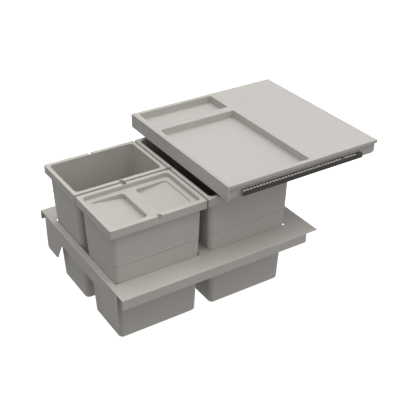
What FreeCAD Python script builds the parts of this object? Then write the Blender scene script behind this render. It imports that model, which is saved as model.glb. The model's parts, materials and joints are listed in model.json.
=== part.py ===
import FreeCAD, Part
import math
import os

from FreeCAD import Vector

# Pull-out waste set for a base cabinet: three bins in a folded holder frame,
# a drop-in lid, and a two-part cover tray that runs on roller tracks which
# screw to the cabinet sides.
#
# Millimetres.  X runs across the cabinet, -Y points at the user, Z is up.
# Modelled from the holder frame: y = 0 at its front edge, z = 0 on its top.
# Each piece is moved on writing, so that the origin lies in the middle of the
# set's footprint, at the level of the bins' bases.

# ---------------------------------------------------------------- cabinet
cabinet_clear_width = 418.0     # inside a 450 cabinet with 16 mm sides
running_gap = 0.3               # between pieces that slide past each other
clear_half = cabinet_clear_width / 2

# ---------------------------------------------------------------- bins
bin_height = 291.2              # base to rim
bin_drop = 151.2                # base to the top of the holder frame
bin_wall = 2.0
bin_floor = 2.5
bin_corner_radius = 11.0        # upright corners of the body
bin_base_radius = 5.0
bin_step_height = 194.2         # where the body steps out for stacking
bin_step_width = 0.4
lower_draft = 0.039             # per mm of height, below the step
upper_draft = 0.027             # per mm of height, above the step
foot_ring_width = 14.0
foot_ring_height = 1.0

small_rim_width = 160.2         # across the cabinet
rim_length = 226.8              # along the drawer, on all three bins
rim_gap_across = 6.0            # between the two small bins
rim_gap_along = 3.2             # between the small bins and the large one
rim_front_setback = 3.3         # first rims behind the frame's front edge
rim_overhang_side = 8.5         # land outside the body, across
rim_overhang_end = 7.2          # land outside the body, along
rim_sheet = 2.0
rim_lip = 19.0                  # height of the turned-down lip
rim_corner_radius = 3.5
notch_top_width = 9.0           # bag troughs in the middle of the long sides
notch_bottom_width = 2.0
notch_depth = 13.0
notch_sheet = 1.5

rim_top = bin_height - bin_drop
step_level = bin_step_height - bin_drop
rim_side = rim_gap_across / 2 + small_rim_width
small_rim_front = rim_front_setback
small_rim_rear = small_rim_front + rim_length
large_rim_front = small_rim_rear + rim_gap_along
large_rim_rear = large_rim_front + rim_length

# ---------------------------------------------------------------- lid
lid_drop = 9.0                  # border below the rim
lid_clearance = 0.3
lid_sheet = 2.0
lid_skirt = 6.0
lid_border_side = 14.5
lid_border_end = 12.9
lid_bar_width = 28.0            # grip bar across the middle
lid_recess_deep = 12.5          # beside the bar
lid_recess_shallow = 3.0        # at the outer end
lid_recess_radius = 8.0

# ---------------------------------------------------------------- holder frame
frame_sheet = 1.5
frame_bend_radius = 2.0         # outside of each fold
frame_side_gap = 2.0            # to the cabinet side
frame_length = 498.2
frame_side_skirt = 24.0
frame_side_skirt_length = 467.5
frame_front_skirt = 38.5
frame_corner_relief = 25.0      # front skirt stops this far from each side
frame_tab_depth = 91.0          # front tabs, from the frame's top
frame_tab_width = 55.0          # at their lower edge
frame_tab_slant = 32.0          # how far the inner edge leans in
frame_tab_radius = 8.0
bin_clearance = 0.9             # bin body to frame opening
opening_radius = 3.0

frame_half = clear_half - frame_side_gap
fold_reach = 2 * frame_bend_radius  # stock behind a fold, before it is hollowed

# ---------------------------------------------------------------- cover
cover_front = 251.6
cover_length = 402.6
cover_height = 34.6
cover_running_gap = 11.5        # over the bins' rims
cover_side_gap = 1.7            # flange to the cabinet side
cover_sheet = 2.0
flange_lip = 7.6                # height of the turned-down flange edge
flange_edge_radius = 1.0
front_panel_thickness = 4.0
tray_rear_radius = 8.0          # lower rear corner, seen from the side
seam_x = -110.0                 # joint between the side and the main tray
recess_front_land = 14.4
recess_length = 202.0
recess_depth = 18.5
recess_side_land = 10.8
main_recess_seam_land = 15.0
side_recess_seam_land = 9.0
recess_corner_radius = 4.0
rib_sheet = 1.6
rib_height = 12.0
main_tray_ribs = 3
side_tray_ribs = 1

cover_bottom = rim_top + cover_running_gap
cover_top = cover_bottom + cover_height
cover_rear = cover_front + cover_length
flange_half = clear_half - cover_side_gap
tray_front = cover_front + front_panel_thickness
recess_front = cover_front + recess_front_land
recess_rear = recess_front + recess_length
recess_floor = cover_top - recess_depth
recess_side = flange_half - recess_side_land

# ---------------------------------------------------------------- roller track
track_width = 9.0               # cabinet side to the tray's wall
rail_sheet = 0.8
rail_front = 287.5
rail_wall_length = 310.5
rail_end_slot = 1.5
rail_neck_width = 4.0           # floor left beside the end slot
rail_rise = 2.7                 # rail's underside above the cover's lower edge
rail_height = 11.0
rail_lip = 0.7
rail_screw_radius = 2.0
rail_screw_rise = 2.7           # above the rail's floor
rail_screw_setback = 100.5      # first hole behind the rail's front end
rail_screw_spacing = 192.0      # six steps of the 32 mm hole line
rail_screw_count = 2

roller_radius = 2.8
roller_pitch = 8.25
roller_clearance = 0.3
roller_proud = 0.3              # rollers above the strip
strip_end_margin = 4.0          # least distance of a roller's axis from the end
pocket_mouth = 5.2              # narrower than a roller, so that it snaps in
pocket_floor = 7.2

buffer_length = 12.0
buffer_tongue = 3.0             # side of the square tongue pushed through the rail's floor
buffer_chamfer = 1.2

runner_sheet = 0.8
runner_setback = 2.5            # behind the rail's front end
runner_leg_width = 2.6          # upper leg, on the rollers
runner_leg_length = 270.0
runner_stop_width = 7.0
runner_stop_length = 7.0
runner_lower_width = 4.0
runner_slot_setback = 10.0
runner_slot_root = 1.5          # lower leg left beside the slot
stop_lug_length = 6.0
cover_travel = 210.0            # set by the lug in the runner's slot

tray_wall = clear_half - track_width
rail_bottom = cover_bottom + rail_rise
rail_floor_top = rail_bottom + rail_sheet
rail_top = rail_bottom + rail_height
rail_wall_rear = rail_front + rail_wall_length
buffer_front = rail_wall_rear + rail_end_slot
rail_rear = buffer_front + buffer_length
rail_inner = tray_wall + runner_sheet + running_gap
strip_inner = rail_inner + rail_sheet
strip_outer = clear_half - rail_sheet
roller_axis = rail_top + roller_proud - roller_radius
strip_seat = roller_axis - roller_radius
rail_screw_height = rail_floor_top + rail_screw_rise
first_rail_screw = rail_front + rail_screw_setback
rail_screw_places = [first_rail_screw + i * rail_screw_spacing for i in range(rail_screw_count)]
roller_span = rail_wall_length - 2 * strip_end_margin
roller_count = int(roller_span / roller_pitch) + 1
first_roller = rail_front + (rail_wall_length - (roller_count - 1) * roller_pitch) / 2
roller_places = [first_roller + i * roller_pitch for i in range(roller_count)]

runner_front = rail_front + runner_setback
runner_rear = buffer_front - running_gap
runner_leg_bottom = roller_axis + roller_radius + running_gap
runner_leg_top = runner_leg_bottom + runner_sheet
runner_lower_top = rail_bottom - running_gap
runner_lower_bottom = runner_lower_top - runner_sheet
runner_slot_front = runner_front + runner_slot_setback
stop_lug_front = runner_slot_front + running_gap

# ---------------------------------------------------------------- screws
screw_radius = 1.5
screw_clearance = 0.15
screw_head_radius = 3.0
screw_head_height = 1.8
screw_tail = 3.0                # past a joint between two walls
panel_screw_bite = 3.0          # into the front panel
runner_screw_count = 3
joint_screw_count = 3
panel_screw_count = 3
screw_end_margin = 20.0

round_sides = 8                 # sides of the small round forms that repeat
spill = 1.0                     # how far a cutter runs past a face
touch = 1e-4                    # places closer than this are one
right_angle = 90.0
WRITE_SHIFT = Vector(0, -cover_rear / 2, bin_drop)


# ---------------------------------------------------------------- helpers
def block(x0, x1, y0, y1, z0, z1):
    return Part.makeBox(x1 - x0, y1 - y0, z1 - z0, Vector(x0, y0, z0))


def evenly(first, last, count):
    step = (last - first) / (count - 1)
    return [first + i * step for i in range(count)]


def extruded(points, direction):
    wire = Part.makePolygon(points + points[:1])
    return Part.Face(wire).extrude(direction)


def inset(outline, across, along):
    x0, x1, y0, y1 = outline
    return (x0 + across, x1 - across, y0 + along, y1 - along)


def rounded_wire(outline, z, radius):
    """A rectangle with round corners, as four lines and four arcs."""
    x0, x1, y0, y1 = outline
    corners = [(x1, y0, -1, 1), (x1, y1, -1, -1), (x0, y1, 1, -1), (x0, y0, 1, 1)]
    slant = radius * (1 - 0.5 ** 0.5)
    arcs = []
    for i, (x, y, dx, dy) in enumerate(corners):
        on_x_side = Vector(x + dx * radius, y, z)
        on_y_side = Vector(x, y + dy * radius, z)
        middle = Vector(x + dx * slant, y + dy * slant, z)
        ends = (on_x_side, on_y_side) if i % 2 == 0 else (on_y_side, on_x_side)
        arcs.append(Part.Arc(ends[0], middle, ends[1]))
    edges = []
    for i, arc in enumerate(arcs):
        following = arcs[(i + 1) % len(arcs)]
        edges.append(arc.toShape())
        edges.append(Part.LineSegment(arc.EndPoint, following.StartPoint).toShape())
    return Part.Wire(edges)


def rounded_block(outline, z0, z1, radius):
    face = Part.Face(rounded_wire(outline, z0, radius))
    return face.extrude(Vector(0, 0, z1 - z0))


def level_edges(shape, z):
    """Edges that lie flat at the height z."""
    found = []
    for edge in shape.Edges:
        bounds = edge.BoundBox
        if abs(bounds.ZMin - z) < touch and abs(bounds.ZMax - z) < touch:
            found.append(edge)
    return found


def upright_edges(shape):
    found = []
    for edge in shape.Edges:
        bounds = edge.BoundBox
        if bounds.XLength < touch and bounds.YLength < touch:
            found.append(edge)
    return found


def rising_edges(shape):
    """Edges that join two levels."""
    return [edge for edge in shape.Edges if edge.BoundBox.ZLength > touch]


def leaning_block(bottom, low, top, high):
    """A block with leaning walls between two level outlines."""
    x0, x1, y0, y1 = bottom
    u0, u1, v0, v1 = top
    lying = Part.makeWedge(x0, low, -y1, -v1, u0, x1, high, -y0, -v0, u1)
    lying.rotate(Vector(0, 0, 0), Vector(1, 0, 0), right_angle)
    return lying


def round_bar(start, direction, length, radius):
    """A small round form with few sides, whose flats touch the circle."""
    up = Vector(0, 0, 1)
    level = direction.cross(up)
    reach = radius / math.cos(math.pi / round_sides)
    points = []
    for i in range(round_sides):
        angle = (2 * i + 1) * math.pi / round_sides
        points.append(start + (level * math.sin(angle) + up * math.cos(angle)) * reach)
    return extruded(points, direction * length)


def mirrored(shape):
    return shape.mirror(Vector(0, 0, 0), Vector(1, 0, 0))


def screw(head_seat, direction, length):
    """Its head stands on head_seat, its shank runs along direction."""
    shank = round_bar(head_seat, direction, length, screw_radius)
    head = round_bar(head_seat, direction * -1, screw_head_height, screw_head_radius)
    return shank.fuse(head)


def screw_hole(head_seat, direction, length, radius):
    start = head_seat - direction * screw_head_height
    return round_bar(start, direction, length + screw_head_height, radius)


def write(name, shape):
    placed = shape.copy()
    placed.translate(WRITE_SHIFT)
    placed.exportStep(os.path.join("parts", name + ".step"))


# ---------------------------------------------------------------- bins and lid
def lean_above_step(z):
    """How far a bin's outside stands in from its outline under the land."""
    return upper_draft * (rim_top - z)


def lean_below_step(z):
    return lean_above_step(step_level) + bin_step_width + lower_draft * (step_level - z)


def body_outline(rim, lean):
    return inset(rim, rim_overhang_side + lean, rim_overhang_end + lean)


def tapered_body(rim, wall, bottom, top):
    """The bin's drafted form, drawn in by a wall, with its stacking step."""
    stages = []
    for lean, low, high in ((lean_below_step, bottom, step_level), (lean_above_step, step_level, top)):
        lower = body_outline(rim, lean(low) + wall)
        upper = body_outline(rim, lean(high) + wall)
        stage = leaning_block(lower, low, upper, high)
        stages.append(stage.makeFillet(bin_corner_radius - wall, rising_edges(stage)))
    return stages[0].fuse(stages[1])


def bag_troughs(rim, grow):
    """V troughs from the wall out through the lip; grown by their sheet, their outside."""
    x0, x1, y0, y1 = rim
    middle = Vector((x0 + x1) / 2, (y0 + y1) / 2, 0)
    if x1 - x0 > y1 - y0:
        outward, half, overhang = Vector(0, 1, 0), (y1 - y0) / 2, rim_overhang_end
    else:
        outward, half, overhang = Vector(1, 0, 0), (x1 - x0) / 2, rim_overhang_side
    inner = half - overhang - (bin_wall / 2 if grow else 0)
    outer = half if grow else half + spill
    half_top = notch_top_width / 2 + grow
    half_bottom = notch_bottom_width / 2 + grow
    low = rim_top - notch_depth - grow
    section = [(-half_bottom, low), (half_bottom, low), (half_top, rim_top), (-half_top, rim_top)]
    along = Vector(outward.y, outward.x, 0)
    troughs = []
    for way in (outward, outward * -1):
        points = [middle + way * inner + along * s + Vector(0, 0, z) for s, z in section]
        troughs.append(extruded(points, way * (outer - inner)))
    return troughs


def make_bin(rim):
    body = tapered_body(rim, 0, -bin_drop, rim_top - rim_sheet)
    body = body.makeFillet(bin_base_radius, level_edges(body, -bin_drop))
    lip = rounded_block(rim, rim_top - rim_lip, rim_top, rim_corner_radius)
    under_land = block(*inset(rim, rim_sheet, rim_sheet), rim_top - rim_lip - spill, rim_top - rim_sheet)
    cavity = tapered_body(rim, bin_wall, bin_floor - bin_drop, rim_top + spill)
    base = body_outline(rim, lean_below_step(-bin_drop))
    foot_hollow = block(
        *inset(base, foot_ring_width, foot_ring_width),
        -bin_drop - spill,
        foot_ring_height - bin_drop,
    )
    shell = body.fuse([lip.cut(under_land)] + bag_troughs(rim, notch_sheet))
    return shell.cut([cavity, foot_hollow] + bag_troughs(rim, 0)).removeSplitter()


def lid_wedge(outline, grow, towards_rear):
    """One finger recess, its floor sloping down to the bar; grown, its plain outside."""
    x0, x1, y0, y1 = outline
    middle = (y0 + y1) / 2
    border_top = rim_top - lid_drop
    sign = 1 if towards_rear else -1
    bar_y = middle + sign * (lid_bar_width / 2 - grow)
    end_y = (y1 if towards_rear else y0) - sign * (lid_border_end - grow)
    left = x0 + lid_border_side - grow
    right = x1 - lid_border_side + grow
    ceiling = border_top if grow else border_top + spill
    points = [
        Vector(left, bar_y, ceiling),
        Vector(left, bar_y, border_top - lid_recess_deep - grow),
        Vector(left, end_y, border_top - lid_recess_shallow - grow),
        Vector(left, end_y, ceiling),
    ]
    wedge = extruded(points, Vector(right - left, 0, 0))
    return wedge if grow else wedge.makeFillet(lid_recess_radius, upright_edges(wedge))


def make_lid(rim):
    border_top = rim_top - lid_drop
    fit = bin_wall + lid_clearance
    outline = body_outline(rim, lean_above_step(border_top) + fit)
    radius = bin_corner_radius - fit
    border = rounded_block(outline, border_top - lid_skirt, border_top, radius)
    below = rounded_block(
        inset(outline, lid_sheet, lid_sheet),
        border_top - lid_skirt,
        border_top - lid_sheet,
        radius - lid_sheet,
    )
    shell = border.cut(below)
    for towards_rear in (False, True):
        shell = shell.fuse(lid_wedge(outline, lid_sheet, towards_rear))
    for towards_rear in (False, True):
        shell = shell.cut(lid_wedge(outline, 0, towards_rear))
    return shell.removeSplitter()


# ---------------------------------------------------------------- holder frame
def frame_opening(x_half, first_rim_front, last_rim_rear):
    lean = lean_below_step(0) - bin_clearance
    front = first_rim_front + rim_overhang_end + lean
    rear = last_rim_rear - rim_overhang_end - lean
    side = x_half - rim_overhang_side - lean
    outline = (-side, side, front, rear)
    return rounded_block(outline, -frame_sheet - spill, spill, opening_radius)


def make_frame_top():
    """The plate with its two side skirts, which end short of the rear edge."""
    plate = block(-frame_half, frame_half, 0, frame_length, -frame_side_skirt, 0)
    folds = [e for e in level_edges(plate, 0) if e.BoundBox.XLength < touch]
    plate = plate.makeFillet(frame_bend_radius, folds)
    inside = frame_half - frame_sheet
    wide = frame_half + spill
    past_rear = frame_length + spill
    hollow = block(-inside, inside, -spill, past_rear, -frame_side_skirt - spill, -frame_sheet)
    behind = block(-wide, wide, frame_side_skirt_length, past_rear, -frame_side_skirt - spill, -frame_sheet)
    return plate.cut([hollow, behind])


def make_front_skirt():
    """The folded front edge, with a tab hanging down at each end."""
    half = frame_half - frame_corner_relief
    tab_inner = half - frame_tab_width
    angle = block(-half, half, 0, fold_reach, -frame_tab_depth, 0)
    fold = [e for e in level_edges(angle, 0) if e.BoundBox.YMax < touch]
    angle = angle.makeFillet(frame_bend_radius, fold)
    wide = half + spill
    behind = block(-wide, wide, frame_sheet, fold_reach + spill, -frame_tab_depth - spill, -frame_sheet)
    between = [
        Vector(-tab_inner, -spill, -frame_tab_depth),
        Vector(-tab_inner + frame_tab_slant, -spill, -frame_front_skirt),
        Vector(tab_inner - frame_tab_slant, -spill, -frame_front_skirt),
        Vector(tab_inner, -spill, -frame_tab_depth),
    ]
    angle = angle.cut([behind, extruded(between, Vector(0, frame_sheet + 2 * spill, 0))])
    corners = []
    for edge in level_edges(angle, -frame_tab_depth):
        if edge.BoundBox.XLength < touch:
            corners.append(edge)
    return angle.makeFillet(frame_tab_radius, corners)


def make_frame():
    half = frame_half - frame_corner_relief
    fold_room = block(-half, half, -spill, fold_reach, -frame_sheet - spill, spill)
    shell = make_frame_top().cut(fold_room).fuse(make_front_skirt())
    front = frame_opening(rim_side, small_rim_front, small_rim_rear)
    rear = frame_opening(rim_side, large_rim_front, large_rim_rear)
    return shell.cut([front, rear]).removeSplitter()


# ---------------------------------------------------------------- cover
def tray_recess(x0, x1, grow):
    """The stepped-down part of a tray; grown by the wall it is the tub's plain outside."""
    top = cover_top if grow else cover_top + spill
    tub = block(
        x0 - grow,
        x1 + grow,
        recess_front - grow,
        recess_rear + grow,
        recess_floor - grow,
        top,
    )
    return tub if grow else tub.makeFillet(recess_corner_radius, upright_edges(tub))


def make_tray(side, recess_x0, recess_x1, ribs):
    """A tray from its seam wall to its outer wall; side is +1 or -1."""
    x0, x1 = sorted((side * tray_wall, seam_x))
    body = block(x0, x1, tray_front, cover_rear, cover_bottom, cover_top)
    flange_inner, flange_outer = sorted((side * (tray_wall - cover_sheet), side * flange_half))
    lip_bottom = cover_top - flange_lip
    flange = block(flange_inner, flange_outer, tray_front, cover_rear, lip_bottom, cover_top)
    body = body.fuse(flange).removeSplitter()
    edge_x = side * flange_half
    outer = [e for e in level_edges(body, cover_top) if abs(e.BoundBox.Center.x - edge_x) < touch]
    body = body.makeFillet(flange_edge_radius, outer)

    wall = cover_sheet
    inside = block(x0 + wall, x1 - wall, tray_front + wall, cover_rear - wall,
                   cover_bottom - spill, cover_top - wall)
    slot_x0, slot_x1 = sorted((side * tray_wall, side * (flange_half - wall)))
    under_flange = block(slot_x0, slot_x1, tray_front - spill, cover_rear + spill,
                         lip_bottom - spill, cover_top - wall)
    shell = body.cut([inside, under_flange])

    rib_low = cover_top - wall - rib_height
    rib_rear = cover_rear - wall
    rib_front = recess_rear + wall
    across = (x1 - x0) / (ribs + 1)
    for i in range(ribs):
        middle = x0 + (i + 1) * across
        rib = block(middle - rib_sheet / 2, middle + rib_sheet / 2, rib_front, rib_rear,
                    rib_low, cover_top - wall)
        shell = shell.fuse(rib)
    cross = (rib_front + rib_rear) / 2
    cross_rib = block(x0 + wall, x1 - wall, cross - rib_sheet / 2, cross + rib_sheet / 2,
                      rib_low, cover_top - wall)
    shell = shell.fuse(cross_rib)
    shell = shell.fuse(tray_recess(recess_x0, recess_x1, wall))
    shell = shell.cut(tray_recess(recess_x0, recess_x1, 0))

    wide = flange_half + spill
    keep = block(-wide, wide, tray_front, cover_rear, cover_bottom, cover_top)
    rear_corner = [e for e in level_edges(keep, cover_bottom) if e.BoundBox.YMin > cover_rear - touch]
    keep = keep.makeFillet(tray_rear_radius, rear_corner)
    holes = runner_screw_cutters(side, screw_radius + screw_clearance)
    holes += [screw_hole(*place, screw_radius + screw_clearance) for place in joint_screw_places()]
    holes += [screw_hole(*place, screw_radius + screw_clearance) for place in panel_screw_places()]
    return shell.common(keep).cut(holes).removeSplitter()


def joint_screw_places():
    """Through the two seam walls, from the side tray into the main tray."""
    height = (cover_bottom + recess_floor) / 2
    seat_x = seam_x - cover_sheet
    length = 2 * cover_sheet + screw_tail
    ys = evenly(tray_front + screw_end_margin, cover_rear - screw_end_margin, joint_screw_count)
    return [(Vector(seat_x, y, height), Vector(1, 0, 0), length) for y in ys]


def panel_screw_places():
    """From behind, through the trays' front walls into the front panel."""
    height = (cover_bottom + recess_floor) / 2
    seat_y = tray_front + cover_sheet
    length = cover_sheet + panel_screw_bite
    half = tray_wall - screw_end_margin
    xs = evenly(-half, half, panel_screw_count)
    return [(Vector(x, seat_y, height), Vector(0, -1, 0), length) for x in xs]


def make_front_panel():
    panel = block(-flange_half, flange_half, cover_front, tray_front, cover_bottom, cover_top)
    top_front = [e for e in level_edges(panel, cover_top) if e.BoundBox.YMax < cover_front + touch]
    panel = panel.makeFillet(flange_edge_radius, top_front)
    return panel.cut([screw_hole(*place, screw_radius) for place in panel_screw_places()])


# ---------------------------------------------------------------- roller track
def runner_screw_places():
    height = (rail_bottom + rail_top) / 2
    seat_x = tray_wall - cover_sheet
    length = cover_sheet + runner_sheet
    ys = evenly(runner_front + screw_end_margin, runner_rear - screw_end_margin, runner_screw_count)
    return [(Vector(seat_x, y, height), Vector(1, 0, 0), length) for y in ys]


def runner_screw_cutters(side, radius):
    cutters = [screw_hole(*place, radius) for place in runner_screw_places()]
    return cutters if side > 0 else [mirrored(cutter) for cutter in cutters]


def make_rail():
    """Right-hand rail: a folded steel channel, with a neck at its end slot."""
    wall = block(strip_outer, clear_half, rail_front, rail_wall_rear, rail_bottom, rail_top)
    floor = block(rail_inner, clear_half, rail_front, rail_rear, rail_bottom, rail_floor_top)
    lip_top = rail_floor_top + rail_lip
    lip = block(rail_inner, strip_inner, rail_front, rail_wall_rear, rail_bottom, lip_top)
    slot = block(rail_inner + rail_neck_width, clear_half + spill, rail_wall_rear, buffer_front,
                 rail_bottom - spill, rail_floor_top + spill)
    lug_inner = tray_wall + runner_slot_root + running_gap
    lug_outer = tray_wall + runner_lower_width + running_gap
    lug = block(lug_inner, lug_outer, stop_lug_front, stop_lug_front + stop_lug_length,
                runner_lower_bottom, rail_bottom)
    across = Vector(1, 0, 0)
    starts = rail_screw_starts()
    holes = [Part.makeCylinder(rail_screw_radius, track_width, start, across) for start in starts]
    rail = wall.fuse([floor, lip, lug])
    return rail.cut([slot, buffer_tongue_block()] + holes).removeSplitter()


def rail_screw_starts():
    return [Vector(rail_inner - spill, y, rail_screw_height) for y in rail_screw_places]


def make_roller_strip():
    """A moulded comb whose pockets are undercut, so that each roller snaps in."""
    half_mouth = pocket_mouth / 2
    half_floor = pocket_floor / 2
    profile = [(rail_front, rail_floor_top), (rail_front, rail_top)]
    for y in roller_places:
        profile.append((y - half_mouth, rail_top))
        profile.append((y - half_floor, strip_seat))
        profile.append((y + half_floor, strip_seat))
        profile.append((y + half_mouth, rail_top))
    profile.append((rail_wall_rear, rail_top))
    profile.append((rail_wall_rear, rail_floor_top))
    points = [Vector(strip_inner, y, z) for y, z in profile]
    comb = extruded(points, Vector(strip_outer - strip_inner, 0, 0))
    across = Vector(1, 0, 0)
    starts = rail_screw_starts()
    return comb.cut([round_bar(start, across, track_width, rail_screw_radius) for start in starts])


def make_rollers():
    start = strip_inner + roller_clearance
    length = strip_outer - roller_clearance - start
    rollers = []
    for y in roller_places:
        end = Vector(start, y, roller_axis)
        rollers.append(round_bar(end, Vector(1, 0, 0), length, roller_radius))
    return Part.makeCompound(rollers)


def buffer_tongue_block():
    x = (rail_inner + clear_half) / 2
    y = buffer_front + buffer_length / 2
    half = buffer_tongue / 2
    return block(x - half, x + half, y - half, y + half, rail_bottom, rail_floor_top)


def make_buffer():
    """Rubber end stop: its inner side reaches behind the runner's web."""
    inner = tray_wall + running_gap
    body = block(inner, clear_half, buffer_front, rail_rear, rail_floor_top, rail_top)
    outer_edges = [e for e in level_edges(body, rail_top) if e.BoundBox.XMin > clear_half - touch]
    body = body.makeChamfer(buffer_chamfer, outer_edges)
    return body.fuse(buffer_tongue_block()).removeSplitter()


def make_runner():
    """Right-hand runner on the tray: a C section round the rail."""
    web_outer = tray_wall + runner_sheet
    web = block(tray_wall, web_outer, runner_front, runner_rear, runner_lower_bottom, runner_leg_top)
    leg_rear = runner_front + runner_leg_length
    leg = block(tray_wall, tray_wall + runner_leg_width, runner_front, leg_rear,
                runner_leg_bottom, runner_leg_top)
    stop = block(tray_wall, tray_wall + runner_stop_width, leg_rear - runner_stop_length, leg_rear,
                 runner_leg_bottom, runner_leg_top)
    lower_outer = tray_wall + runner_lower_width
    lower = block(tray_wall, lower_outer, runner_front, runner_rear,
                  runner_lower_bottom, runner_lower_top)
    slot_length = stop_lug_length + 2 * running_gap + cover_travel
    slot = block(tray_wall + runner_slot_root, lower_outer + spill, runner_slot_front,
                 runner_slot_front + slot_length, runner_lower_bottom - spill, runner_lower_top + spill)
    above_leg = block(tray_wall - spill, lower_outer, leg_rear, runner_rear + spill,
                      runner_leg_bottom, runner_leg_top + spill)
    profile = web.fuse([leg, stop, lower.cut(slot)]).cut(above_leg)
    return profile.cut(runner_screw_cutters(1, screw_radius)).removeSplitter()


# ---------------------------------------------------------------- writing
def screws(places):
    return Part.makeCompound([screw(*place) for place in places])


def main():
    os.makedirs("parts", exist_ok=True)

    small_inner = rim_gap_across / 2
    right_rim = (small_inner, rim_side, small_rim_front, small_rim_rear)
    left_rim = (-rim_side, -small_inner, small_rim_front, small_rim_rear)
    large_rim = (-rim_side, rim_side, large_rim_front, large_rim_rear)
    write("small_bin_right", make_bin(right_rim))
    write("small_bin_left", make_bin(left_rim))
    write("large_bin", make_bin(large_rim))
    write("small_bin_lid", make_lid(right_rim))
    write("holder_frame", make_frame())

    main_recess_x0 = seam_x + main_recess_seam_land
    side_recess_x1 = seam_x - side_recess_seam_land
    write("cover_main_tray", make_tray(1, main_recess_x0, recess_side, main_tray_ribs))
    write("cover_side_tray", make_tray(-1, -recess_side, side_recess_x1, side_tray_ribs))
    write("cover_front_panel", make_front_panel())
    write("cover_joint_screws", screws(joint_screw_places()))
    write("front_panel_screws", screws(panel_screw_places()))

    paired = {
        "cabinet_rail": make_rail(),
        "roller_strip": make_roller_strip(),
        "track_rollers": make_rollers(),
        "end_buffer": make_buffer(),
        "tray_runner": make_runner(),
        "runner_screws": screws(runner_screw_places()),
    }
    for name, shape in paired.items():
        write("right_" + name, shape)
        write("left_" + name, mirrored(shape))


main()
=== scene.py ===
import json
import math
import bmesh
import bpy
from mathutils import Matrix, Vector


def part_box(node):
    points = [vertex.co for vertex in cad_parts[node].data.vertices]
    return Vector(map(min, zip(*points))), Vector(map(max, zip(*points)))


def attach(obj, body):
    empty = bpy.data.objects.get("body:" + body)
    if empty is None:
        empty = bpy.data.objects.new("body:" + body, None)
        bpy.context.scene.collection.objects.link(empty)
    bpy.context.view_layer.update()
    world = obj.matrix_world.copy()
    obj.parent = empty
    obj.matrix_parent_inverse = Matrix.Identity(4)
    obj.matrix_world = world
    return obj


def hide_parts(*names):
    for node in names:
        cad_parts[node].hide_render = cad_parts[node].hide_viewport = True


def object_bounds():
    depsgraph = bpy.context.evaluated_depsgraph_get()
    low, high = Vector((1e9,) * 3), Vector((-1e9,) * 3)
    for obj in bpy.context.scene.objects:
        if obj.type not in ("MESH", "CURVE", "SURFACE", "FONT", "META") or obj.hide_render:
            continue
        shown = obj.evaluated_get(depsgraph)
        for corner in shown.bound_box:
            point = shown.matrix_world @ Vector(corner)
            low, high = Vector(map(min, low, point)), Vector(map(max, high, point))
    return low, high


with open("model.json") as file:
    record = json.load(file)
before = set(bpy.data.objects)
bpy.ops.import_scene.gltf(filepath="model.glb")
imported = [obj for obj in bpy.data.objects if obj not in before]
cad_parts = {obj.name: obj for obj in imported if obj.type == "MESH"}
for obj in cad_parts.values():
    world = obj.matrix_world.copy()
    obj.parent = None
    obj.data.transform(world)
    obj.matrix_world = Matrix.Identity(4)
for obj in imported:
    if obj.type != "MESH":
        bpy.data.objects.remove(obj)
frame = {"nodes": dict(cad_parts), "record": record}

cadBox = [list(corner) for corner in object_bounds()]
bodies = frame["record"]["behaviour"]["bodies"]
bodyOf = {node: body for body, members in bodies.items() for node in members}
slotOf = {part["node"]: part["material_slot"] for part in frame["record"]["subparts"]}
mm = 0.001
print("frame loaded:", len(frame["nodes"]), "nodes")


# Camera: fitted to the photograph's straight edges, with no roll to speak of.
cameraView = {
    "place": (1.4145, -0.9042, 1.1825),  # metres
    "azimuth": 57.785,  # degrees, turned left from looking along +Y
    "elevation": 30.876,  # degrees, looking down
    "focalPixels": 835.44,
    "imagePixels": 400,
    "sensor": 36.0,  # millimetres
}


def makeCamera(view):
    data = bpy.data.cameras.new("photoCamera")
    data.sensor_width = view["sensor"]
    data.lens = view["focalPixels"] * view["sensor"] / view["imagePixels"]
    camera = bpy.data.objects.new("photoCamera", data)
    bpy.context.scene.collection.objects.link(camera)
    camera.location = view["place"]
    camera.rotation_euler = (
        math.radians(90 - view["elevation"]), 0, math.radians(view["azimuth"]))
    bpy.context.scene.camera = camera


makeCamera(cameraView)
print("camera set")


def srgb(hexCode):
    parts = [int(hexCode[i:i + 2], 16) / 255 for i in (0, 2, 4)]
    linear = [c / 12.92 if c <= 0.04045 else ((c + 0.055) / 1.055) ** 2.4 for c in parts]
    return (*linear, 1.0)


def grey(level):
    return (level, level, level, 1.0)


def addNode(tree, kind, settings=None, inputs=None):
    node = tree.nodes.new(kind)
    for name, value in (settings or {}).items():
        setattr(node, name, value)
    for socket, value in (inputs or {}).items():
        if isinstance(value, bpy.types.NodeSocket):
            tree.links.new(value, node.inputs[socket])
        else:
            node.inputs[socket].default_value = value
    return node


def emptyMaterial(name):
    material = bpy.data.materials.new(name)
    material.use_nodes = True
    material.node_tree.nodes.clear()
    return material, material.node_tree


# Studio: a white sweep under a soft dome, brightest overhead and dimmest just above the
# horizon, with one broad light high behind the set, which leaves the faces towards the
# camera dim.
studio = {
    "floorHalf": 60.0,  # metres, so that no view sees its edge
    "floorDrop": 0.0005,  # metres below the bins
    "floorGlow": 0.97,
    "floorPaint": 0.35,
    "zenith": 2.15,
    # From 0, straight down, to 1, straight up: the brightness as a share of the zenith's.
    "domeStops": {0.0: 0.144, 0.475: 0.144, 0.525: 0.023, 0.675: 0.263, 0.85: 0.122, 1.0: 1.0},
    "rearAzimuth": 80.0,  # degrees from +X
    "rearElevation": 40.0,
    "rearLevel": 0.73,
    "rearWidth": 2.0,  # power of the cosine
}


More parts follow.
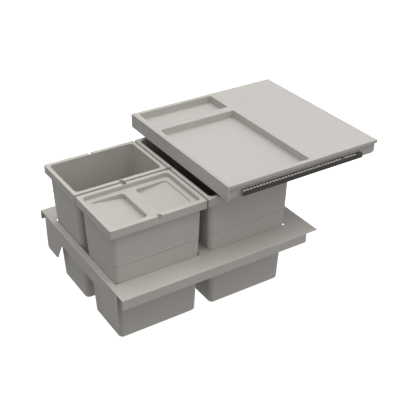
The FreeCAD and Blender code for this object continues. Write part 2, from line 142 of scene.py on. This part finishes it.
def makeDome(facts):
    world = bpy.data.worlds.new("studioDome")
    bpy.context.scene.world = world
    world.use_nodes = True
    tree = world.node_tree
    tree.nodes.clear()
    towards = addNode(tree, "ShaderNodeTexCoord").outputs["Generated"]
    split = addNode(tree, "ShaderNodeSeparateXYZ", inputs={0: towards})
    height = addNode(tree, "ShaderNodeMapRange", inputs={
        "Value": split.outputs["Z"], "From Min": -1.0, "From Max": 1.0})
    ramp = addNode(tree, "ShaderNodeValToRGB", inputs={0: height.outputs[0]})
    stops = ramp.color_ramp.elements
    places = sorted(facts["domeStops"])
    while len(stops) < len(places):
        stops.new(0.5)
    for stop, place in zip(stops, places):
        stop.position = place
        stop.color = grey(facts["domeStops"][place])
    dome = addNode(tree, "ShaderNodeMath", {"operation": "MULTIPLY"}, {
        0: ramp.outputs["Color"], 1: facts["zenith"]})

    turn, rise = math.radians(facts["rearAzimuth"]), math.radians(facts["rearElevation"])
    rear = (math.cos(rise) * math.cos(turn), math.cos(rise) * math.sin(turn), math.sin(rise))
    facing = addNode(tree, "ShaderNodeVectorMath", {"operation": "DOT_PRODUCT"}, {
        0: towards, 1: rear})
    lit = addNode(tree, "ShaderNodeMath", {"operation": "MAXIMUM"}, {
        0: facing.outputs["Value"], 1: 0.0})
    soft = addNode(tree, "ShaderNodeMath", {"operation": "POWER"}, {
        0: lit.outputs[0], 1: facts["rearWidth"]})
    both = addNode(tree, "ShaderNodeMath", {"operation": "MULTIPLY_ADD"}, {
        0: soft.outputs[0], 1: facts["rearLevel"], 2: dome.outputs[0]})
    glow = addNode(tree, "ShaderNodeBackground", inputs={
        "Color": grey(1.0), "Strength": both.outputs[0]})
    addNode(tree, "ShaderNodeOutputWorld", inputs={"Surface": glow.outputs[0]})


def makeFloor(facts):
    # It lights nothing: the dome's lower half stands for what it sends back up.
    half = facts["floorHalf"]
    low = cadBox[0][2] - facts["floorDrop"]
    mesh = bpy.data.meshes.new("studioFloor")
    corners = [(-half, -half, low), (half, -half, low), (half, half, low), (-half, half, low)]
    mesh.from_pydata(corners, [], [(0, 1, 2, 3)])
    floor = bpy.data.objects.new("studioFloor", mesh)
    bpy.context.scene.collection.objects.link(floor)
    material, tree = emptyMaterial("whiteSweep")
    paint = addNode(tree, "ShaderNodeBsdfDiffuse", inputs={"Color": grey(facts["floorPaint"])})
    shine = addNode(tree, "ShaderNodeEmission", inputs={"Strength": facts["floorGlow"]})
    both = addNode(tree, "ShaderNodeAddShader", inputs={0: paint.outputs[0], 1: shine.outputs[0]})
    addNode(tree, "ShaderNodeOutputMaterial", inputs={"Surface": both.outputs[0]})
    mesh.materials.append(material)
    floor.visible_diffuse = False
    floor.visible_glossy = False


bpy.context.scene.view_settings.view_transform = "Standard"
makeDome(studio)
makeFloor(studio)
print("studio lit")


# Materials. Sizes are in millimetres; each pattern reads Object coordinates.
plastics = {
    # Moulded in spark-eroded tools: satin, with a fine grain that breaks the light up.
    "bin_plastic": {
        "name": "spark-erodedPolypropylene",
        "hex": "c6c2bc", "rough": 0.52, "grain": 1.1, "depth": 0.05},
    # The same plastic, its colour darkened as painted shade for the dimmer light towards the
    # front.
    "lid_plastic": {
        "name": "spark-erodedPolypropyleneLid",
        "hex": "c2beb8", "rough": 0.5, "grain": 1.1, "depth": 0.05},
    # Moulded matt: flat and even, with hardly any shine.
    "cover_plastic": {
        "name": "mattPolystyrene",
        "hex": "c6c3be", "rough": 0.48, "grain": 0.9, "depth": 0.04},
    # Folded sheet under powder coat: a soft shine over a faint orange peel.
    "frame_coat": {
        "name": "powderCoatedSteel",
        "hex": "c4c0ba", "rough": 0.45, "grain": 1.6, "depth": 0.06},
    # Rolled, then black-coated: nearly black and dull.
    "rail_steel": {
        "name": "blackZincSteel",
        "hex": "4b4844", "rough": 0.42, "grain": 2.0, "depth": 0.02},
    # Moulded acetal: smooth, mid grey and a little waxy.
    "strip_plastic": {
        "name": "greyAcetalStrip",
        "hex": "aeaba5", "rough": 0.4, "grain": 1.0, "depth": 0.02},
    # Turned acetal: pale and smooth, with a soft light line along each roller.
    "roller_plastic": {
        "name": "turnedAcetalRoller",
        "hex": "f7f5f1", "rough": 0.34, "grain": 1.0, "depth": 0.02},
    # Moulded rubber: dark grey, with no shine.
    "buffer_rubber": {
        "name": "mouldedRubber",
        "hex": "55534f", "rough": 0.7, "grain": 0.8, "depth": 0.04},
}
metals = {
    # Rolled and zinc-plated: dull grey metal with fine lines along its length; its grey is partly
    # painted shade, darkened for the shadow under the cover's flange.
    "runner_zinc": {
        "name": "zincPlatedSteel",
        "hex": "8f8c87", "rough": 0.38, "stretch": (4.0, 0.2, 4.0)},
    # Headed and zinc-plated: brighter, with an even fine mottle.
    "screw_zinc": {
        "name": "zincPlatedScrewSteel",
        "hex": "cfccc6", "rough": 0.35, "stretch": (3.0, 3.0, 3.0)},
}
noiseReach = {"From Min": 0.3, "From Max": 0.7}  # where a noise texture's values mostly lie
skin = {
    "cloudSize": 70.0,  # millimetres
    "cloudDetail": 3.0,
    "cloudDark": 0.955,  # what the darkest cloud leaves of the colour
    "grainDetail": 2.0,
    "grainRoughness": 0.6,
    "speck": (0.985, 1.01),  # the grain's darkest and lightest share of the colour
    "glossSpread": 0.04,
    "bumpStrength": 0.8,
    "refraction": 1.49,
}
plating = {
    "lineSize": 2.4,  # millimetres
    "lineDetail": 4.0,
    "lineDepth": 0.02,
    "glossSpread": 0.08,
    "bumpStrength": 0.6,
}


def addGloss(tree, pattern, rough, spread):
    return addNode(tree, "ShaderNodeMapRange", inputs={
        "Value": pattern, **noiseReach, "To Min": rough - spread, "To Max": rough + spread})


def paintedSurface(facts):
    # A moulded or coated skin: an even colour with faint clouds from flow and cooling,
    # and a fine matt grain, drawn coarse enough to show.
    material, tree = emptyMaterial(facts["name"])
    place = addNode(tree, "ShaderNodeTexCoord").outputs["Object"]
    clouds = addNode(tree, "ShaderNodeTexNoise", inputs={
        "Vector": place, "Scale": 1 / (skin["cloudSize"] * mm), "Detail": skin["cloudDetail"]})
    grain = addNode(tree, "ShaderNodeTexNoise", inputs={
        "Vector": place, "Scale": 1 / (facts["grain"] * mm),
        "Detail": skin["grainDetail"], "Roughness": skin["grainRoughness"]})
    base = srgb(facts["hex"])
    darker = (*[c * skin["cloudDark"] for c in base[:3]], 1.0)
    tone = addNode(tree, "ShaderNodeMix", {"data_type": "RGBA"}, {
        "Factor": clouds.outputs["Fac"], 6: darker, 7: base})
    speck = addNode(tree, "ShaderNodeMapRange", inputs={
        "Value": grain.outputs["Fac"], **noiseReach,
        "To Min": skin["speck"][0], "To Max": skin["speck"][1]})
    colour = addNode(tree, "ShaderNodeVectorMath", {"operation": "SCALE"}, {
        0: tone.outputs[2], "Scale": speck.outputs[0]})
    gloss = addGloss(tree, clouds.outputs["Fac"], facts["rough"], skin["glossSpread"])
    bump = addNode(tree, "ShaderNodeBump", inputs={
        "Height": grain.outputs["Fac"], "Distance": facts["depth"] * mm,
        "Strength": skin["bumpStrength"]})
    shader = addNode(tree, "ShaderNodeBsdfPrincipled", inputs={
        "Base Color": colour.outputs[0], "Roughness": gloss.outputs[0],
        "Normal": bump.outputs[0], "IOR": skin["refraction"]})
    addNode(tree, "ShaderNodeOutputMaterial", inputs={"Surface": shader.outputs[0]})
    return material


def drawnMetal(facts):
    # Bare plated metal with the fine lines of drawing or rolling, stretched along them.
    material, tree = emptyMaterial(facts["name"])
    place = addNode(tree, "ShaderNodeTexCoord").outputs["Object"]
    turned = addNode(tree, "ShaderNodeMapping", inputs={
        "Vector": place, "Scale": facts["stretch"]})
    lines = addNode(tree, "ShaderNodeTexNoise", inputs={
        "Vector": turned.outputs[0], "Scale": 1 / (plating["lineSize"] * mm),
        "Detail": plating["lineDetail"]})
    gloss = addGloss(tree, lines.outputs["Fac"], facts["rough"], plating["glossSpread"])
    bump = addNode(tree, "ShaderNodeBump", inputs={
        "Height": lines.outputs["Fac"], "Distance": plating["lineDepth"] * mm,
        "Strength": plating["bumpStrength"]})
    shader = addNode(tree, "ShaderNodeBsdfPrincipled", inputs={
        "Base Color": srgb(facts["hex"]), "Metallic": 1.0,
        "Roughness": gloss.outputs[0], "Normal": bump.outputs[0]})
    addNode(tree, "ShaderNodeOutputMaterial", inputs={"Surface": shader.outputs[0]})
    return material


finishes = {slot: paintedSurface(facts) for slot, facts in plastics.items()}
finishes.update({slot: drawnMetal(facts) for slot, facts in metals.items()})
for node, piece in frame["nodes"].items():
    for place in piece.material_slots:
        place.material = finishes[slotOf[node]]
print("materials:", len(finishes))


weld = 0.0005  # millimetres between corners that are the same one


def mergedCopy(node):
    # A CAD node's mesh is loose triangles, so its copy is merged before any other work.
    shape = bmesh.new()
    shape.from_mesh(frame["nodes"][node].data)
    bmesh.ops.remove_doubles(shape, verts=shape.verts, dist=weld * mm)
    return shape


def plainMesh(name, shape):
    # The shading that came with the CAD node no longer fits, so it is dropped.
    mesh = bpy.data.meshes.new(name)
    shape.to_mesh(mesh)
    shape.free()
    if "custom_normal" in mesh.attributes:
        mesh.attributes.remove(mesh.attributes["custom_normal"])
    return mesh


def dress(name, mesh, node):
    # A new piece in the place of one node: it rides the same body and keeps its slot.
    piece = bpy.data.objects.new(name, mesh)
    bpy.context.scene.collection.objects.link(piece)
    mesh.materials.clear()
    mesh.materials.append(finishes[slotOf[node]])
    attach(piece, bodyOf[node])
    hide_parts(node)
    return piece


# Softened pieces: moulding leaves a small radius round the faces that look up.
softening = {
    "flat": 0.4,  # degrees; faces this close to level with each other are joined
    "bend": 28.0,  # degrees; sharper edges are rounded, or else drawn sharp
    "upright": 0.9,  # least upward part of a face's direction
    "share": 0.44,  # of a strip's width that each of its edges may take
    "least": 1.9,  # millimetres; edges of narrower strips stay as they are
    "segments": 3,
    # Each node's radius, and how far below its top that goes, in millimetres.
    "nodes": {
        "large_bin": (1.0, 1),
        "small_bin_left": (1.0, 1),
        "small_bin_right": (1.0, 1),
        "small_bin_lid": (0.7, 14),
        "cover_main_tray": (1.3, 20),
        "cover_side_tray": (1.3, 20),
        "cover_front_panel": (0.7, 1),
    },
}

# The step on which stacked bins rest leaves a thin shadow line round the body:
# a shallow groove right below it. Sizes in millimetres.
stepLine = {
    "nodes": ("large_bin", "small_bin_left", "small_bin_right"),
    "height": 194.2,  # above the floor
    "width": 0.9,
    "inset": 0.7,
    "slope": 0.04,  # height of the groove's lower side
    "level": 0.02,  # corners this close to the step's height belong to it
    "cutLevel": 0.002,  # corners this close to a cut lie on it
}


def roomAcross(edge, loop, sharp):
    # Width of the face at the middle of one of its sharp edges, up to its next sharp edge.
    face = loop.face
    start = (edge.verts[0].co + edge.verts[1].co) / 2
    along = (loop.link_loop_next.vert.co - loop.vert.co).normalized()
    inward = face.normal.cross(along)
    room = math.inf
    for other in face.edges:
        if other not in sharp or set(other.verts) & set(edge.verts):
            continue
        ends = [corner.co - start for corner in other.verts]
        (x0, y0), (x1, y1) = [(end.dot(along), end.dot(inward)) for end in ends]
        if x0 * x1 > 0 or x0 == x1:
            continue
        reach = y0 - x0 * (y1 - y0) / (x1 - x0)
        if reach > 0:
            room = min(room, reach)
    return room


def grooveBelowStep(shape, middle):
    step = stepLine["height"] * mm
    low = step - stepLine["width"] * mm
    high = low + stepLine["slope"] * mm
    near = stepLine["level"] * mm
    for height in (low, high):
        everything = list(shape.verts) + list(shape.edges) + list(shape.faces)
        bmesh.ops.bisect_plane(
            shape, geom=everything, plane_co=Vector((0, 0, height)),
            plane_no=Vector((0, 0, 1)), dist=stepLine["cutLevel"] * mm)
    shape.normal_update()
    moves = {}
    for corner in shape.verts:
        height = corner.co.z
        goesDown = any(edge.other_vert(corner).co.z < height - near for edge in corner.link_edges)
        onStep = abs(height - step) < near and goesDown
        onGroove = abs(height - high) < near / 2
        outward = Vector((corner.normal.x, corner.normal.y, 0))
        if (onStep or onGroove) and outward.dot(corner.co - middle) > 0:
            moves[corner] = outward.normalized() * stepLine["inset"] * mm
    for corner, move in moves.items():
        corner.co -= move
    shape.normal_update()


def softenedPiece(node, radius, depth):
    low, high = [Vector(corner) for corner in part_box(node)]
    lowest = high.z - depth * mm
    shape = mergedCopy(node)
    bmesh.ops.dissolve_limit(
        shape, angle_limit=math.radians(softening["flat"]), verts=shape.verts, edges=shape.edges)
    shape.normal_update()
    if node in stepLine["nodes"]:
        grooveBelowStep(shape, (low + high) / 2)
    bend = math.radians(softening["bend"])
    weight = shape.edges.layers.float.new("bevel_weight_edge")
    sharp = {edge for edge in shape.edges
             if len(edge.link_faces) == 2 and edge.calc_face_angle() > bend}
    for edge in sharp:
        room = min(roomAcross(edge, loop, sharp) for loop in edge.link_loops)
        looksUp = max(face.normal.z for face in edge.link_faces) > softening["upright"]
        isHigh = min(end.co.z for end in edge.verts) > lowest
        if looksUp and isHigh and room > softening["least"] * mm:
            edge[weight] = min(1.0, softening["share"] * room / (radius * mm))
        else:
            edge.smooth = False
    for face in shape.faces:
        face.smooth = True
    piece = dress(node + "Softened", plainMesh(node + "Softened", shape), node)
    rounding = piece.modifiers.new("softEdges", "BEVEL")
    rounding.limit_method = "WEIGHT"
    rounding.width = radius * mm
    rounding.segments = softening["segments"]
    rounding.use_clamp_overlap = False
    shading = piece.modifiers.new("flatFaces", "WEIGHTED_NORMAL")
    shading.keep_sharp = True


for node, (radius, depth) in softening["nodes"].items():
    softenedPiece(node, radius, depth)
print("softened pieces:", len(softening["nodes"]))


# Geometry Nodes: one tree for the rollers and one for the screws.
def newTree(name, kinds):
    tree = bpy.data.node_groups.new(name, "GeometryNodeTree")
    sockets = tree.interface
    sockets.new_socket("Geometry", in_out="OUTPUT", socket_type="NodeSocketGeometry")
    sockets.new_socket("Geometry", in_out="INPUT", socket_type="NodeSocketGeometry")
    keys = {}
    for label, kind in kinds.items():
        keys[label] = sockets.new_socket(label, in_out="INPUT", socket_type=kind).identifier
    return tree, keys, tree.nodes.new("NodeGroupInput").outputs


def closeTree(tree, placed, material):
    real = addNode(tree, "GeometryNodeRealizeInstances", inputs={0: placed})
    painted = addNode(tree, "GeometryNodeSetMaterial", inputs={
        "Geometry": real.outputs[0], "Material": material})
    addNode(tree, "NodeGroupOutput", inputs={0: painted.outputs[0]})


def rollerTree():
    # A row of round bars, each lying across the track.
    tree, keys, given = newTree("rollerRow", {
        "Count": "NodeSocketInt", "Pitch": "NodeSocketFloat", "First": "NodeSocketVector",
        "Radius": "NodeSocketFloat", "Length": "NodeSocketFloat", "Sides": "NodeSocketInt",
        "Material": "NodeSocketMaterial"})
    step = addNode(tree, "ShaderNodeCombineXYZ", inputs={"Y": given["Pitch"]})
    row = addNode(tree, "GeometryNodeMeshLine", {"mode": "OFFSET"}, {
        "Count": given["Count"], "Start Location": given["First"], "Offset": step.outputs[0]})
    bar = addNode(tree, "GeometryNodeMeshCylinder", inputs={
        "Vertices": given["Sides"], "Radius": given["Radius"], "Depth": given["Length"]})
    lying = addNode(tree, "GeometryNodeTransform", inputs={
        "Geometry": bar.outputs["Mesh"], "Rotation": (0, math.radians(90), 0)})
    placed = addNode(tree, "GeometryNodeInstanceOnPoints", inputs={
        "Points": row.outputs[0], "Instance": lying.outputs[0]})
    closeTree(tree, placed.outputs[0], given["Material"])
    return tree, keys


def screwTree():
    # A pan-head screw with a cross recess: its head stands on the seat, its shank goes in.
    tree, keys, given = newTree("screwGroup", {
        "Shank Radius": "NodeSocketFloat", "Shank Length": "NodeSocketFloat",
        "Head Radius": "NodeSocketFloat", "Crown Radius": "NodeSocketFloat",
        "Head Height": "NodeSocketFloat", "Recess Length": "NodeSocketFloat",
        "Recess Width": "NodeSocketFloat", "Sides": "NodeSocketInt",
        "Turn": "NodeSocketRotation", "Material": "NodeSocketMaterial"})

    def raised(mesh, height):
        up = addNode(tree, "ShaderNodeCombineXYZ", inputs={"Z": height})
        return addNode(tree, "GeometryNodeTransform", inputs={
            "Geometry": mesh, "Translation": up.outputs[0]}).outputs[0]

    def recess(length, width):
        size = addNode(tree, "ShaderNodeCombineXYZ", inputs={
            "X": length, "Y": width, "Z": given["Head Height"]})
        block = addNode(tree, "GeometryNodeMeshCube", inputs={"Size": size.outputs[0]})
        return raised(block.outputs["Mesh"], given["Head Height"])

    half = addNode(tree, "ShaderNodeMath", {"operation": "MULTIPLY"}, {
        0: given["Shank Length"], 1: -0.5})
    shank = addNode(tree, "GeometryNodeMeshCylinder", inputs={
        "Vertices": given["Sides"], "Radius": given["Shank Radius"],
        "Depth": given["Shank Length"]})
    head = addNode(tree, "GeometryNodeMeshCone", inputs={
        "Vertices": given["Sides"], "Radius Bottom": given["Head Radius"],
        "Radius Top": given["Crown Radius"], "Depth": given["Head Height"]})
    # This solver gives the same faces each run, which the exact one does not.
    cut = addNode(tree, "GeometryNodeMeshBoolean", {
        "operation": "DIFFERENCE", "solver": "MANIFOLD"}, {"Mesh 1": head.outputs["Mesh"]})
    long, wide = given["Recess Length"], given["Recess Width"]
    for slot in (recess(long, wide), recess(wide, long)):
        tree.links.new(slot, cut.inputs["Mesh 2"])
    whole = addNode(tree, "GeometryNodeJoinGeometry")
    tree.links.new(cut.outputs["Mesh"], whole.inputs[0])
    tree.links.new(raised(shank.outputs["Mesh"], half.outputs[0]), whole.inputs[0])
    placed = addNode(tree, "GeometryNodeInstanceOnPoints", inputs={
        "Points": given["Geometry"], "Instance": whole.outputs[0], "Rotation": given["Turn"]})
    closeTree(tree, placed.outputs[0], given["Material"])
    return tree, keys


def grown(name, points, tree, keys, values, node):
    # Runs a tree on a few points and keeps the plain mesh.
    mesh = bpy.data.meshes.new(name + "Points")
    mesh.from_pydata(points, [], [])
    bed = bpy.data.objects.new(name + "Points", mesh)
    bpy.context.scene.collection.objects.link(bed)
    growth = bed.modifiers.new("growth", "NODES")
    growth.node_group = tree
    for label, value in values.items():
        growth[keys[label]] = value
    growth[keys["Material"]] = finishes[slotOf[node]]
    view = bpy.context.evaluated_depsgraph_get()
    real = bpy.data.meshes.new_from_object(bed.evaluated_get(view))
    real.name = name
    bpy.data.objects.remove(bed)
    dress(name, real, node)


# Roller track: the comb's teeth end below the rollers' tops, so that the pale rollers show.
track = {
    "pitch": 8.25,  # millimetres
    "sides": 20,
    "teethDrop": 1.3,  # millimetres
    "level": 0.01,  # millimetres; corners this close to the top are the teeth's
}


def rollerRow(side, tree, keys):
    node = side + "_track_rollers"
    low, high = [Vector(corner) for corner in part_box(node)]
    radius = (high.z - low.z) / 2
    pitch = track["pitch"] * mm
    first = Vector(((low.x + high.x) / 2, low.y + radius, low.z + radius))
    count = round((high.y - low.y - 2 * radius) / pitch) + 1
    values = {"Count": count, "Pitch": pitch, "First": first, "Radius": radius,
              "Length": high.x - low.x, "Sides": track["sides"]}
    grown(side + "TrackRollers", [first], tree, keys, values, node)


def combStrip(side):
    node = side + "_roller_strip"
    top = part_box(node)[1][2]
    shape = mergedCopy(node)
    for corner in shape.verts:
        if corner.co.z > top - track["level"] * mm:
            corner.co.z -= track["teethDrop"] * mm
    for face in shape.faces:
        face.smooth = False
    dress(side + "CombStrip", plainMesh(side + "CombStrip", shape), node)


trees = {"rollers": rollerTree(), "screws": screwTree()}
for side in ("left", "right"):
    rollerRow(side, *trees["rollers"])
    combStrip(side)
print("roller tracks made")


# Screws: each node's solids give the seats, and the way in runs from head to tip.
screwMake = {
    "shankRadius": 1.5,  # millimetres
    "headHeight": 1.8,
    "crownShare": 0.72,  # of the head's radius, at its top
    "recessLength": 3.2,
    "recessWidth": 0.7,
    "sides": 18,
    "ways": {
        "right_runner_screws": (1, 0, 0),
        "left_runner_screws": (-1, 0, 0),
        "cover_joint_screws": (1, 0, 0),
        "front_panel_screws": (0, -1, 0),
    },
}


def separateBoxes(node):
    # Lowest and highest corners of each separate solid in a node, in the mesh's own order.
    shape = mergedCopy(node)
    left = set(shape.verts)
    boxes = []
    for first in shape.verts:
        if first not in left:
            continue
        left.remove(first)
        group = [first]
        for corner in group:
            for edge in corner.link_edges:
                other = edge.other_vert(corner)
                if other in left:
                    left.remove(other)
                    group.append(other)
        places = [corner.co for corner in group]
        boxes.append([Vector([pick(place[i] for place in places) for i in range(3)])
                      for pick in (min, max)])
    shape.free()
    return boxes


def screwGroup(node, way):
    headHeight = screwMake["headHeight"] * mm
    seats = []
    for low, high in separateBoxes(node):
        middle, half = (low + high) / 2, (high - low) / 2
        reach = abs(half.dot(Vector(way)))
        seats.append(middle - Vector(way) * (reach - headHeight))
        width = max(half[i] for i in range(3) if way[i] == 0)
    values = {
        "Shank Radius": screwMake["shankRadius"] * mm,
        "Shank Length": 2 * reach - headHeight,
        "Head Radius": width,
        "Crown Radius": width * screwMake["crownShare"],
        "Head Height": headHeight,
        "Recess Length": screwMake["recessLength"] * mm,
        "Recess Width": screwMake["recessWidth"] * mm,
        "Sides": screwMake["sides"],
        "Turn": (-Vector(way)).to_track_quat("Z", "Y").to_euler(),
    }
    grown(node + "Round", seats, *trees["screws"], values, node)


for node, way in screwMake["ways"].items():
    screwGroup(node, way)
print("screws made")
